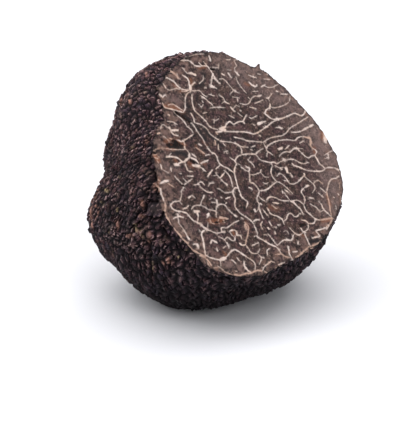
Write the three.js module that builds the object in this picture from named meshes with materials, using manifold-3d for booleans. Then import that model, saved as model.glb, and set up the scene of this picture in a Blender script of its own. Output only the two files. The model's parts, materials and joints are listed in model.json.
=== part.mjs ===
// Black truffle: one lobed, roughly round fruit body, cut once by a straight knife stroke.
//
// Millimetres, +Z up. The truffle rests on a small flat spot under its weight, and its origin is
// on the surface that it rests on, in the middle of its bounding box.

import * as THREE from 'three';
import { mergeVertices } from 'three/addons/utils/BufferGeometryUtils.js';
import Module from 'manifold-3d';

// ---- Driving dimensions -------------------------------------------------------------------

const HEIGHT_OF_CENTRE = 27.5;       // from the resting surface up to the point the lobes grow from
const SKIN_DETAIL = 18;              // subdivisions of the icosahedron that the skin starts from
const BLEND = 2;                     // how widely neighbouring lobes run into each other
const REACH_LIMIT = 60;              // no point of the skin is farther than this from the centre

const CUT_BEARING = -52;             // degrees round +Z from +X: where the cut face looks
const CUT_RISE = 36;                 // degrees above level: how far the cut face looks up
const CUT_DISTANCE = 14.3;           // from the centre to the cut face
const KNIFE = 160;                   // edge of the cubes that cut the face and the resting spot

// Each lobe is a ball. `bearing` and `rise`, in degrees, say which way it lies from the centre,
// `offset` how far its middle is from the centre, and `radius` how big it is.
const LOBES = [
  { bearing: 148, rise: 53, offset: 13, radius: 17.8 },     // upper left
  { bearing: 176, rise: 4, offset: 8.5, radius: 16.8 },     // left, above the notch
  { bearing: -164, rise: 68, offset: 12.5, radius: 18 },    // top edge of the cut
  { bearing: -171, rise: -26, offset: 16, radius: 15.6 },   // lower left
  { bearing: -130, rise: -45, offset: 12, radius: 19.4 },   // front left, under the cut
  { bearing: -115, rise: 5, offset: 11.5, radius: 18 },     // left edge of the cut
  { bearing: -87, rise: -13, offset: 12, radius: 18.8 },    // front edge of the cut
  { bearing: 2, rise: 0, offset: 12.5, radius: 18 },        // right
  { bearing: 30, rise: 40, offset: 9, radius: 17.5 },       // right shoulder
  { bearing: 57, rise: 67, offset: 12, radius: 15.5 },      // right top edge of the cut
  { bearing: 95, rise: 72, offset: 11, radius: 18.2 },      // top
  { bearing: 84, rise: 6, offset: 12.5, radius: 18.2 },     // back
  { bearing: 124, rise: 20, offset: 11.5, radius: 17.4 },   // back left
  { bearing: 35, rise: -36, offset: 11, radius: 18.6 },     // back, low on the right
  { bearing: 128, rise: -46, offset: 12, radius: 18.4 },    // back, low on the left
  { bearing: -25, rise: -38, offset: 10.5, radius: 18.6 },  // front right, under the cut
];

// Each furrow is a groove along the skin through a few directions, each [bearing, rise].
const FURROWS = [
  { path: [[138, -14], [180, 1], [-138, 49]], depth: 2.2, width: 5 },            // left, at the notch
  { path: [[-132, 49], [-136, 54]], depth: 2.7, width: 2.8 },                    // left edge of the cut
  { path: [[60, 62], [64, 36], [38, 14], [52, -14]], depth: 1.6, width: 3.6 },   // back
  { path: [[138, -14], [112, 14], [116, 38]], depth: 1.4, width: 3.4 },          // back left
];

// ---- Shape ---------------------------------------------------------------------------------

function direction(bearing, rise) {
  const polar = THREE.MathUtils.degToRad(90 - rise);
  const azimuth = THREE.MathUtils.degToRad(bearing);
  return new THREE.Vector3(
    Math.sin(polar) * Math.cos(azimuth),
    Math.sin(polar) * Math.sin(azimuth),
    Math.cos(polar),
  );
}

const lobes = LOBES.map(({ bearing, rise, offset, radius }) => ({
  middle: direction(bearing, rise).multiplyScalar(offset),
  radius,
}));

// Below zero inside the blended lobes, zero on their skin, and above zero outside.
function outsideness(point) {
  const sum = lobes.reduce(
    (total, { middle, radius }) => total + Math.exp((radius - point.distanceTo(middle)) / BLEND),
    0,
  );
  return -BLEND * Math.log(sum);
}

// Distance from the centre to the skin of the blended lobes, found by halving the interval.
function lobedReach(way) {
  let inside = 0;
  let outside = REACH_LIMIT;
  while (outside - inside > 1e-4) {
    const middle = (inside + outside) / 2;
    if (outsideness(way.clone().multiplyScalar(middle)) < 0) {
      inside = middle;
    } else {
      outside = middle;
    }
  }
  return inside;
}

// Distance from a point of the skin to the nearest place on a furrow's path.
function distanceToPath(point, path) {
  const reach = point.length();
  const stops = path.map((stop) => direction(...stop).multiplyScalar(reach));
  const distances = stops.slice(1).map((end, i) => {
    const nearest = new THREE.Vector3();
    new THREE.Line3(stops[i], end).closestPointToPoint(point, true, nearest);
    return point.distanceTo(nearest.setLength(reach));
  });
  return Math.min(...distances);
}

// Distance from the centre to the furrowed skin.
function skinReach(way) {
  const reach = lobedReach(way);
  const point = way.clone().multiplyScalar(reach);
  const depths = FURROWS.map(
    ({ path, depth, width }) => depth * Math.exp(-((distanceToPath(point, path) / width) ** 2)),
  );
  return reach - Math.max(...depths);
}

function skinGeometry() {
  const geometry = new THREE.IcosahedronGeometry(1, SKIN_DETAIL);
  const positions = geometry.getAttribute('position');
  const way = new THREE.Vector3();
  for (let i = 0; i < positions.count; i += 1) {
    way.fromBufferAttribute(positions, i).normalize();
    const point = way.clone().multiplyScalar(skinReach(way));
    positions.setXYZ(i, point.x, point.y, point.z + HEIGHT_OF_CENTRE);
  }
  return geometry;
}

// A cube that takes away everything past a plane through `point`, on the side `outward` looks to.
function knifeGeometry(point, outward) {
  const turn = new THREE.Quaternion().setFromUnitVectors(new THREE.Vector3(0, 0, 1), outward);
  const middle = point.clone().addScaledVector(outward, KNIFE / 2);
  return new THREE.BoxGeometry(KNIFE, KNIFE, KNIFE).applyQuaternion(turn)
    .translate(middle.x, middle.y, middle.z);
}

// ---- Cutting -------------------------------------------------------------------------------

const wasm = await Module();
wasm.setup();

function toSolid(geometry) {
  geometry.deleteAttribute('normal');
  geometry.deleteAttribute('uv');
  const merged = mergeVertices(geometry, 1e-3);
  return new wasm.Manifold(new wasm.Mesh({
    numProp: 3,
    vertProperties: new Float32Array(merged.getAttribute('position').array),
    triVerts: new Uint32Array(merged.getIndex().array),
  }));
}

function toGeometry(solid) {
  const mesh = solid.getMesh();
  const geometry = new THREE.BufferGeometry();
  geometry.setAttribute('position', new THREE.BufferAttribute(mesh.vertProperties, 3));
  geometry.setIndex(new THREE.BufferAttribute(mesh.triVerts, 1));
  return geometry;
}

function truffleGeometry() {
  const facing = direction(CUT_BEARING, CUT_RISE);
  const onCut = facing.clone().multiplyScalar(CUT_DISTANCE);
  onCut.z += HEIGHT_OF_CENTRE;
  const cutter = toSolid(knifeGeometry(onCut, facing));
  const surface = toSolid(knifeGeometry(new THREE.Vector3(), new THREE.Vector3(0, 0, -1)));
  const geometry = toGeometry(toSolid(skinGeometry()).subtract(cutter).subtract(surface));
  geometry.computeBoundingBox();
  const middle = geometry.boundingBox.getCenter(new THREE.Vector3());
  geometry.translate(-middle.x, -middle.y, 0);
  geometry.computeVertexNormals();
  return geometry;
}

// ---- Scene graph -----------------------------------------------------------------------------

const group = new THREE.Group();

const truffle = new THREE.Mesh(
  truffleGeometry(),
  new THREE.MeshStandardMaterial({ color: 0x2c2320, roughness: 0.8, metalness: 0 }),
);
truffle.name = 'truffle';
group.add(truffle);

export default group;
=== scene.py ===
import json
import math

import bmesh
import bpy
import numpy as np
from mathutils import Matrix, Vector, kdtree, noise
from mathutils.bvhtree import BVHTree
from mathutils.geometry import delaunay_2d_cdt


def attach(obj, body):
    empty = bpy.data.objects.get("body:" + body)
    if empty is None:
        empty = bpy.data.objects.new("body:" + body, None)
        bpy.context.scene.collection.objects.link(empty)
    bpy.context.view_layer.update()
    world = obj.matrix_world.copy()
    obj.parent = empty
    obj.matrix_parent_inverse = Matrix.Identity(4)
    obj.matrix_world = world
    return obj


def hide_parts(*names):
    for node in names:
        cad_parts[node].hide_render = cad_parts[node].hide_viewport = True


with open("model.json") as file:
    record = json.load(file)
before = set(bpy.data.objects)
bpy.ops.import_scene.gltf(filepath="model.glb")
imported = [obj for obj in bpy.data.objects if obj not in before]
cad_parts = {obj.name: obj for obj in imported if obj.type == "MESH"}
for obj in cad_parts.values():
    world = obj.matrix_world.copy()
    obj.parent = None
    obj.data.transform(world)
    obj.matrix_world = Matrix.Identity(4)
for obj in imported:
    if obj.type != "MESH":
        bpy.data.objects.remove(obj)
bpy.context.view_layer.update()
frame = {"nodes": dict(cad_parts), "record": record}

MM = 0.001
NODE = "truffle"

# ---- The view, and how a pixel of the 416 x 448 photograph maps to the model ------------------

FRAME_PX = (416, 448)
PIXEL = 0.243 * MM            # what one pixel covers at the point aimed at
VIEW_RISE = math.radians(22)  # how far the view looks down
VIEW_DISTANCE = 450 * MM
AIM_RIGHT = -1.8 * MM         # the point aimed at, from the origin, across the view
AIM_UP = 15.8 * MM            # and up it
SENSOR = 36.0                 # mm, the camera's usual sensor width

RIGHT = Vector((1, 0, 0))
UP = Vector((0, math.sin(VIEW_RISE), math.cos(VIEW_RISE)))
TOWARD = Vector((0, -math.cos(VIEW_RISE), math.sin(VIEW_RISE)))
AIM = RIGHT * AIM_RIGHT + UP * AIM_UP
EYE = AIM + TOWARD * VIEW_DISTANCE


def sight_line(pixel):
    """The direction from the eye through a pixel of the photograph."""
    across = (pixel[0] - FRAME_PX[0] / 2) * PIXEL
    above = (FRAME_PX[1] / 2 - pixel[1]) * PIXEL
    return (AIM + RIGHT * across + UP * above - EYE).normalized()


# ---- The cut face: its plane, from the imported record's mount ----------------------------------

cut_mount = next(m for m in frame["record"]["mounts"] if m["name"] == "cut_face")
CUT_POINT = Vector(cut_mount["pos_m"])
CUT_NORMAL = Vector(cut_mount["axis"]).normalized()
CUT_RIGHT = Vector((0, 0, 1)).cross(CUT_NORMAL).normalized()
CUT_UP = CUT_NORMAL.cross(CUT_RIGHT)


def on_cut(pixel):
    """Where a pixel of the photograph falls on the cut face, as (right, up) in metres."""
    line = sight_line(pixel)
    reach = (CUT_POINT - EYE).dot(CUT_NORMAL) / line.dot(CUT_NORMAL)
    place = EYE + line * reach - CUT_POINT
    return place.dot(CUT_RIGHT), place.dot(CUT_UP)


# ---- Veins of the cut face, traced on the photograph ------------------------------------------
#
# Each line is one vein or blob: its width in pixels, then the pixels that it passes through.

CREAM_UPPER_LEFT = """
1.5: 169.5,68 173.5,65 177,61.5 179,60.3 188,60.5 192,63 196,66 206,66 209.5,68.7 213,74
1.5: 213,74 215.5,78.5 220,84
2.4: 212.8,73.8 212.8,76
2: 212,77 211,85
3.2: 210.5,86 213.5,87
1.8: 213,86.5 216.7,88.7
1.4: 205,88 206,88
2: 214,78 219,83
2.4: 209,56 210.5,60.5
0.9: 178.5,57 184.5,56.5 190,56 196.5,54.3 204,54
1.4: 183,58 184,59
1.6: 199,63 201.5,65.5
1.4: 203.5,61.5 207,66
1.4: 177,74 178,78
1.3: 182.7,67.7 185,71 187.5,73.5
2: 187,73.3 190.5,73
3: 190.5,73 195.5,75
1.4: 203.2,76.5 203,80 201,82 199.3,83.7
1.8: 182.7,75.3 188,79.3 189.3,86
3: 190,86 190.5,91
2: 190.5,86 194.5,82.7
1.8: 166.5,77.6 167.5,77.8
1.6: 166.5,77.6 170.5,79.5 174.5,82.3 177.5,86 181,88.5 185,90 190,90.5
2.2: 178,86.5 180,88
1.6: 163.3,84 166,88.3
1.2: 166,88.3 168.5,90 172,89.7 176,88.7 182,89.5
1.2: 182,91.5 187,91.5
1.3: 190.5,91 196,90.7 200,91 203,94.5 206,96.5
1.5: 190,91.5 187,94 185.5,98 185.2,104 185,109 183,112.5
1.5: 182.5,112.3 177.5,110.8 172,109.3 165,107.3 162.8,103.5
1.3: 168,105 172,104 175.5,105.5 179,108 182,110
2.4: 159.5,94.5 162.5,97
1.8: 162.5,97.3 165,95
1.5: 192,95 192,100 193,106 195,111 199.5,115 203,118.5 206.8,122.3 209,126 213,128.3 217,129.3
1.6: 206,121 207.5,124
3.4: 219.8,129 223.5,129
2.6: 221,128.2 225.5,127
2.8: 223,130.5 225.5,130.2
2.2: 217,132.3 222,130.8
1.4: 222,128 221.3,125.6
2.4: 225,126.5 227,123.5
1.6: 227,123.5 230,121.5 233.5,124 239,121.7 243,121 245,117.5 246.5,114.5
2: 243,121 244.3,123.5
1.3: 219.5,79 224,79.3 230,86 234,90.7 238,92.7
2: 233,89.8 236,91.2
1.2: 230,94 233,91
1.8: 221.5,73.7 224,75
2: 228,73 231.3,77.7
1: 228,70 231,70
2: 235,71.5 239,75.5
1.3: 235.3,72 234.7,68 236.7,66 235.3,63.3 234.3,60.7 238,59.3
1.6: 226,59.7 230,59.8
1.2: 218.8,64 218.8,68
1.4: 213.5,67.5 218.5,67.5
1.2: 236,76.7 237.3,81.3 240.7,86.7 246,92.7
1.8: 240.5,86.5 242.5,88.7
1.4: 209.5,94.5 214,95.7
1.4: 219.3,95.3 223.3,98 225.3,102 229.5,104
1: 222,103.3 224.7,101.3
1.6: 201.3,96 206.7,99.7
1.4: 202,101 203,102.5
1.6: 207.7,101 211.7,104.3
1.4: 199.3,105 201.3,107 203,104.7
1.3: 210,108 216,107.2 225,107.8
1.4: 203,113.3 206.5,112.5
1.4: 233,97 236,97.3 238.7,97.7
1.6: 237.7,98 237.7,101
2.4: 231,107.5 234,111
1.5: 234,108 236,105
1.2: 236,105 238.7,106.5
1.8: 240,110 240.8,110.6
1.4: 238.5,113.7 242,116.3
1.2: 229,115.3 234,118
1.2: 212.7,119.3 215.5,120.7 218.7,118.7
1.4: 214.3,120.5 214,123.5
1.8: 168.5,114.6 169.3,115.2
1.4: 173,110.5 177,115 181.5,118.8 185,123 187,126.3 190,128.7 192.8,132 193,134.5
1.4: 193,134.5 190.5,136.3 187,138.7 183.5,141 184.7,144 185,148 187.5,151 189.7,154
1.4: 184.5,119 189,121.5 192.5,124 195,127.5 198,132.5 203.3,139.5 205,144
1.6: 205,144 208.5,149 211.5,152.5 215,154 217,157 218,161 221,165 227,168 233.4,172.3
1.8: 191,113.3 193.5,118 194.3,122
1.4: 194,122.5 200,124.2 203.5,126 207,129 210,133.8 215,137.7 220.5,141 227,141.8 233,142.8
1.6: 233,142.8 237.5,144.5 240.5,147.5 241.7,151 241.8,154.5
2.2: 235,143 239.5,146
1.3: 237.5,144.5 242,146.8 247.5,147.2
1.6: 241.8,154.5 237.5,156.8 234.8,160.5
1.4: 167.5,121.5 172,121.7 176.5,124
2.2: 169.3,128 171.5,131
2.6: 172,130.3 178,130.2
1.4: 160.7,128.5 161.5,125.5 163.5,124.7 166,126.3 169,128.2
1.6: 170.4,131.2 174,134.6 178,135.8
1.6: 164.3,136.8 165.2,137.3
1.8: 178,140 181,141.5
2.2: 182.8,141.3 184,141.8
1.2: 185,149.3 178,149.5 172,149.3 166,148.3
2.2: 198.5,144 201,145.3
1.6: 205.5,155.5 208.7,154.5
1.6: 218.2,145 218.3,148.5
1.6: 223,143 225,145.5
1.4: 224.5,151.8 227.5,151
1.2: 226,152 227,153.5
1.8: 234.7,137.2 238,138
1.4: 238,138 243.5,139.3 247.5,140.8 254,141.3 263,142.3
"""

CREAM_UPPER_RIGHT = """
1.6: 225,131.5 235,131.8 243,131.8 249,132.8 253.5,134 258,132.5 263,129.2 267.5,126
1.7: 267.5,126 273,121.7 277.5,120 284,117.7 290,115 294.5,113.3 298,114.5 301.5,116
2: 301.5,116 304.5,113.5 305,111
2.2: 303,130 307.5,127.5 313,124.7
1.5: 277.5,120 272,119 268,116.5 265,113.3 266.5,109.8 270,107.5
2.2: 266.5,109.5 265.3,111.7
2.2: 270,104.3 270,108.5
1.2: 270.5,107 275,107.7 280,106.7 284.5,105 288.5,102.3 289.7,99.5 290,96.5
1.4: 263,142.3 266.5,140 271,137.8 277,136.5 282.5,135.5 286,133 288.3,130 291,127.3
1.4: 291,127.3 297,123.8 302,120.7 307.5,117.3
1.4: 292,132.3 298,132 303,130.3 307.5,128 314,125
1.4: 263,142.3 264.7,145.3 266,148.3 267.3,151.3 270,153 272.5,155
1.1: 267.5,152 266.8,155.5
1.6: 266,148.3 269,145 273.5,142.3 280,140.3 287,139.7 294.5,140.5 297.5,138 301,136.5
1.4: 301,136.5 306,137
1.6: 312.5,148.3 315.5,150 316.5,152.7 315,155.3 317,159 319.5,163.5 323,166.5 325,168.5
1.4: 315,155.3 311.5,155.8 308.5,158 305,156 301.5,152.7 297,149
2.4: 295.5,148 298.5,148.7
1.5: 296,148 293,149.5 290,152 286,151.7 282.5,153 279.5,156
1.1: 297,148.3 302,148.7
1.5: 241.8,154.6 248,154 255.3,154 257.5,152 260,150.2 263,148.5
1.4: 255.3,154 258,157 260.7,159.8 265,161.3 270.5,162.5 274,162.3 277,163.7 280.5,161.5
1.2: 280.5,161.5 284,160.5
3.2: 283.4,159.4 285.2,160.5
1.4: 287,160 291,159.2 295,160 299.5,162.5 303.5,163.7 307,163
1.6: 248.5,75 252,76.5 256.5,78
1.8: 249,82.3 252,85 255.5,86.5 257,84.5
2: 261.5,86.5 264.5,85
1.2: 264.5,86 268.5,87.5 272,87.3 275,86 278,84.5
1.4: 252.7,91.5 257,91.3
1.4: 251,99.5 252.5,97.5 255,96 257.5,96.3
2.2: 257,96.3 260.5,95.7
1.3: 248.3,97.3 250.5,100
1.4: 250.7,99.5 250,102 248,103.8 244.5,104.5 240,103.3
1.4: 255.3,103.3 262.7,100
1.6: 266,98 268.5,98 272,93.7
1.3: 268,98.5 269.5,101
1.6: 250.5,107.3 256,108.7
2.2: 253.5,108 256,108.8
1.4: 249,117 251.5,118.3 257,115.5
1.4: 264,79 270,79.5
1.4: 258,74 260,74.3
1.6: 267,74 268,75
2: 277,91.3 278,91.6
1.6: 281,94 287,94.3
1.8: 253.3,124.7 254,125
3: 258,124 262,122.5
2: 262,122.3 265.5,121.3
2.6: 266,127 268,126.5
2.2: 275,119.3 282,118.5
1.4: 276,127.5 279,127.7
2.4: 279.7,127.5 281.5,128.3
2: 259.6,135.6 260.4,136
1.8: 251.5,147 254.5,145.8
1.6: 250.7,149.7 251.3,149.8
1.4: 248,160 249.5,161.5 252.5,164 254.3,167
1.2: 248.3,159.5 250,157.5
2.6: 278.8,149.2 282,147.6
1.4: 285.5,149 289,145.7
1.6: 300,143 302.5,141.5
2.6: 328,154 328.5,157.5
4: 325.3,136.5 325.3,141.5
1.6: 324.5,155 327,153.5
1.4: 325.5,158.5 328,157.5
1.2: 327.5,153 332.8,150.5
"""

CREAM_LOWER_LEFT = """
1.5: 220.5,165 218,167 216,168.7
1.7: 233.3,160 236.3,163.5 235.2,167 234.3,171 235,176 236.5,182 238,187.5 240,192.5
1.6: 240,192.5 241,196 244,199 247.5,202 246.7,206.5
1.6: 230.5,158 235,161
1.2: 237.3,163.5 240,164.7
1.4: 224,170.3 228,174 230.4,178 231.5,182 232.8,186.7
2: 230,177 231,179.5
1.7: 238,188.3 235.3,187.7 233.8,189.3 233,192.5 234,196 235.2,199 234.7,203 235,207
1.5: 235,207 238,211 242.5,214.8 246.5,217 251,220.7 253,223 255.3,228 257,232.5 257.5,235.7
2.2: 232,192 233.7,194.5
1.3: 217.3,188.3 221,190 225.5,192.8 229,192.3 232.5,192.3
1.8: 216,172 216.5,175
1.2: 214,175.7 217.7,175
1.5: 217.3,175.3 220.3,178
1.8: 220,178 224,173.5
1.4: 220,178 224,182.5 226.8,184.8
2.6: 226.2,184 227,185
2: 212,170.5 210,173 208,176
1.5: 174.7,176.3 177.5,179.5 181,182.7 183.8,185.3
1.4: 183.8,185.3 187.3,182.5 191.5,179.3
1.5: 183.3,178.5 187,182
1.5: 183.8,185.3 183.3,188 181.5,191 181.5,194.5 181,197.5 179.7,201 175,201.5 172.5,203
1.7: 172.5,203 170.7,205.5 173,209 176,210.5 183,212 187,213.7 190,217.3 193.5,220.7
1.9: 193.5,220.7 197.5,222.7 200.5,224.5
1.5: 179.5,201.3 181.5,204
1.7: 204.5,230 202,232.5 201.7,235.5 203,239.5 203.8,245 204.7,250 205.3,254.5
1.4: 207,230 211,231 214.5,232.7 218,233 222,232.3
1.2: 208.3,222.5 207.5,227
2.6: 200,223.5 205,228.5
3.2: 205.5,228.5 207,229.5
1.3: 199,229.7 200.7,231.7
1.4: 221.5,230.5 221.3,228.3 223,227.5 226,228 229.5,226 233.5,223 239,220.5
2: 221.3,229 221.8,231.5
2.4: 222,232 224.5,232
1.3: 197.5,222.5 198,218 198,214.5
3.4: 194.5,211.5 198.5,211.5
2.2: 197.5,213 198,216
1.3: 191.5,209 193.3,206.5 196.5,205.3 200.3,205 201,202.5 202.5,199
2.4: 204,195.5 202.7,199.5
1.3: 201,205.3 204.5,207 208,209.3 212,210.3 215.8,211.5 216.3,217
1.5: 216,211.5 216.3,208.3 218,205 221,204.3 224.7,204.8 227,208 230,211.3 233.5,214.3
2.2: 234.5,215.3 236.5,216.3
1.8: 225.7,203.5 226.5,202.5
2.6: 217,206 219,204.5
2.4: 216.5,200.5 217.3,204.5
1.4: 214.7,198.7 216.5,200.5
1.3: 212.5,202.3 216,202.7
1.2: 209.5,199.5 212,198
2: 221.2,197.3 222,197.8
1.6: 225.7,198.7 230,197
1.2: 193.5,185 197.5,184.5
2.2: 197.3,184.2 199,184
1.4: 198.3,183 200.5,182 202.5,182.5 204,184.5
1.5: 199,185.5 203,189 208,192.3 213,192.2
1.6: 208.5,186 210,183.5 213,183
2.2: 188.7,198 190.5,196.3
1.5: 190.5,196 192.3,195.5 195,198
2: 184,208.5 186.5,208
1.4: 186.5,207.5 188.7,205.5
2.2: 207.5,217 208.7,213.5
1.8: 174,218.3 177.5,216.5
1.8: 178,216 183,217.5
2: 178,214.5 178,218
1.4: 178.4,218.5 179,223.4 183.2,229 187.4,236.5
2.6: 187.5,237 189.5,239.5
1.4: 218.5,236.5 221.5,238 224.7,240 226.5,243
2.4: 227,243 228.7,246.3
1.2: 223.5,248 225.5,246.3
1.8: 229.5,231.3 233,230 236.5,231.5 236.5,235
1.2: 229.8,232 231.5,234.7 234.3,237
2.6: 236.5,235 240.5,235.5
2: 240.5,235.5 241.5,238
1.8: 235.3,236 235,240.5
1.4: 224.8,239.3 227.6,237.2 231.7,240.4 234.8,240.4
1.5: 245.7,244.7 248.5,248.7 250.7,252.3 254,253.5 257.5,253.3
1.8: 239.3,243 241.5,245 245,245
2.4: 210.7,243 211.7,240.3
2: 212,240 216.7,242.7
2.6: 216.7,249 217.7,251
2: 193.7,244.3 197,243.8
2.4: 197.5,244.5 198.7,248
1.6: 206,255.3 210,257.5 215,259 220,260
3.4: 220.5,260 225,258
1.7: 223.5,259 227,256.3 229.5,253 232.5,250.5 235,249.7 239,251.7 243,254.5 247.5,257.5
1.4: 247.5,257.5 251,259.7 254,262.3 255.3,266 255,270.5
1.6: 220.5,262 220.8,265
1.4: 217.9,266.3 223.4,269.8
2: 232.5,260.3 235,262.5
1.6: 237,258 239,260.5
2: 244,261.5 244.5,266 247.5,270 250.5,272.5
1.4: 236,271.3 236.6,271.3
2: 241.6,217.8 242.4,218.2
2.4: 160.5,183.5 164,181.5 168,181
2.4: 160.5,189 161,194
1.8: 161.3,194 163.7,200
2: 160.8,165 161.5,168.5
1.2: 163,170 168,172.5
1.6: 170.5,168 171.5,171.5
2.4: 166.5,157 169.5,156.5
1.4: 169,156 170.7,153.7
1.8: 169.8,156.5 175,157.1 179,158.9 182,161.7 184.2,162.3
1.8: 178,164 181,162.3 184.5,161.7
3: 175,164.5 178,164.8
2.4: 188,158.5 184.5,161.5
3: 189.5,154.5 189,158
2: 192,154 196,157
1.8: 190.6,157.7 195.8,160 198.7,163.5
3.2: 193,165.5 199,166
1.6: 200.4,167 205.6,171.3
2: 201,163.3 204,161.8 207.5,160.5
1.6: 184.7,162.5 186.3,167 188,170.7 192,171.5
1.4: 180.5,173.7 181.2,173.8
1.8: 188,176 188.5,176
2: 191.5,176.3 192.5,176.3
"""

CREAM_LOWER_RIGHT = """
1.5: 270.7,162.7 272.3,165.7 271.3,169 271,172.5 272.7,177 276.8,181.7
1.5: 276.8,181.7 272.5,185 268.5,188.5 264,190.3 259.5,190.3
1.3: 277,181.7 281,183.3 285.5,186.7 289,190 292.7,193.5
2: 270,162.3 271,162.8
1.3: 275,165.6 279.7,168 283,167.3
2.2: 280.5,168.3 281.5,169.3
2: 241.3,167.3 243,168.3
1.3: 243,168.5 248,171.5
2: 246.5,166.5 249.3,168.5 249,171.5
1.5: 249,171.5 249.7,175.5 249.7,179.5 250.3,182.5 253.5,183.3 256,185.7 258,188.5 259.3,191
1.5: 259.3,191 258.5,194.5 257,197.5 257.3,201 259,204 259,208.5 260.7,212.3 262.5,217
1.3: 250,174.5 253.5,174.8 257.5,173.5 260.7,172.5 262.5,174.5 264.5,176.8 268.5,177.2
1.6: 261,169.5 260.7,172.5
2.4: 260.5,203.7 261.5,204.3
2.8: 254.5,209.5 255.5,211.5
1.4: 256.8,211 259,209
2.2: 262.4,217 263,218
1.4: 258.5,195.7 261,198.7 266,201.7
1.8: 267,199.3 268.7,197.5 271.5,196.8 275.5,197.7
1.4: 275.5,197.7 279.5,199.7 284,200.7 290,200.7
1.8: 290,200.7 293.5,202.7 297,206 300,208.7 301.7,211.3 302.7,213.3
1.4: 284.3,193 287,196.5 290,200.3
2.6: 292,201 294,202.5
2: 282.2,191 282.8,193
2.2: 285.5,190.3 287.5,191.7
1.5: 293.5,200.5 297.5,200.3 301,202.3 303.5,204.7 305,208.7 307.5,212.3 311,215.3 315,218.7
2.4: 315,219 316.5,219.6
1.4: 276.7,176.3 278.7,174 281.3,174 285,177 287.3,180.5 289.5,183.3 293.5,184 297.5,182.3
1.5: 297.5,182.3 301,179 303.7,175.7
1.4: 304,176 308.5,180 313.3,184 315,187.7 314.3,190 312.3,192.7
2.4: 304.3,173.7 304.7,175.2
2: 284,180.5 285,180.6
1.4: 313.3,184 315.3,181.3 318.5,180.3
1.6: 294,165.5 299,167 303.5,169 308,170.5 314,171.2 320,171.2 323.7,170.3 325,168.5
2.2: 292,163.5 294,165.5
1.6: 307.3,162.5 308,162.5
1.5: 325,168.3 329,167.5 335,168
2.4: 335,168 338.5,170
1.4: 338.5,170 339.5,172.5
3.4: 286.3,168.6 287.4,172.4
2.4: 290.2,173.2 292,176.4
1.2: 263,182.5 265.5,183.7 268,182.8
1.8: 249.3,187.7 251.7,188.8
1.8: 269.7,187 270.3,186.5
1.5: 305,187 301.3,191.5 303,195 305,199.5 303.7,204.3
2.6: 305.5,187 308,185.5
1.7: 338.5,176 336,178.2 332.5,178.8 330,181 328,186 326.7,191.5
2.2: 309,197.5 312.5,198
1.8: 320.5,188 325.5,192.5
1.8: 318.5,193 322.5,197
2.2: 322.3,196.3 323,197
2: 338.5,194.5 339,195
2: 333.7,197.3 334.3,197.6
1.4: 335.8,206 336.5,209.5
1.5: 319,201.7 321.7,205 323.3,209 327,212.7 331,216.3
1.6: 310.5,204.3 313,205.7
1.4: 313,205.7 316.3,207.5 319.5,211.2 323.3,210.5
1.6: 316,219.7 321,220
1.6: 326,227.3 321.5,229.3 317,230.3 316.3,231.7 318.7,234.5 319.3,236.7 315.5,237.3 312.5,238
3: 326.5,228 328.5,225.5
2.2: 312.3,237.8 313.2,238.2
1.5: 315.3,220 314,223 310.5,223.7 308,223.3
1.8: 303.2,220.3 306,221 308.5,223.5
1.5: 308,223.5 308.3,226.5 307.7,229.3 304,232
1.6: 299.5,225.5 301,228.3 303,232
2.2: 303.8,231.8 305,232.3
1.6: 304,232.3 306,237 308,241.5 310,245.7
1.3: 303,232.3 301,234.3 297.5,235 295,233
1.6: 294.7,233.3 293,236 292.7,238.3 290.7,240.3 287.5,240 284,240 281.5,241.7 277.5,245.3
2: 292.8,237.3 292.8,238.7
2.2: 286.3,239.3 287.8,239.8
1.5: 290,228.5 292.5,231 294.7,233.3
1.8: 253.3,221.7 255.5,220 259,219.8
1.6: 256.5,236 260,238.5 264.5,241 269.5,244 276,246.8
1.6: 254.7,236.3 257.5,236
1.5: 276,246.8 278.5,249.3 280.3,252 281.3,254
2: 268,234.3 270,236
1.4: 270,236 273,240 276.7,245
1.4: 264,234.5 267,235
2: 267.3,208.5 268.7,210.3
1.5: 268.7,210.3 270.3,213.3 273.5,215 277.5,216.3 281,218.5 283,221 283.3,222.5 284.3,224.5
1.5: 283.5,221.3 286.5,219 287,216.5 289,213.7 291.5,213.7 294,216.3 297,216.5 299,214.3
2.6: 299.2,213.5 300.2,213.9
1.5: 263.5,210 265.5,212.7 267.7,215.2
1.6: 269,222 271.3,225.3
2.2: 268,228 269,229.3
1.6: 262,222 260.7,224.5 262.3,228.7
1.8: 274.5,227 275.5,227.2
2: 278,225 279,225
2: 275,232.3 275.5,233.7
1.2: 284,231.5 286,230.7 288,232.5
1.6: 272.5,202.5 279,203.5
2: 273,206 276.5,208.5
2.4: 298,242.3 298,243.7
2.2: 288.2,247 289,251
1.5: 289,250 289,253 291,257 294.3,262.3
1.6: 292.5,252 296.5,251.5
2.2: 252.8,245.2 253.8,244.8
1.4: 253.5,245 257,243.3
1.8: 257.3,243.2 258.3,242.8
1.5: 260,249 258,253
2: 250.8,252 251.6,252.6
1.4: 257.7,253.5 260,256 261.5,258 260.7,261 259.3,264.3
1.8: 262,257.5 264,258
1.6: 269,248.5 267,251 267.5,255
1.6: 262.7,270.3 264,267 266.5,264.7 269.5,262.5 271,261.3
1.3: 271,261.3 274.5,262.3
2: 278.7,264.7 284,262.8
"""

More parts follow.
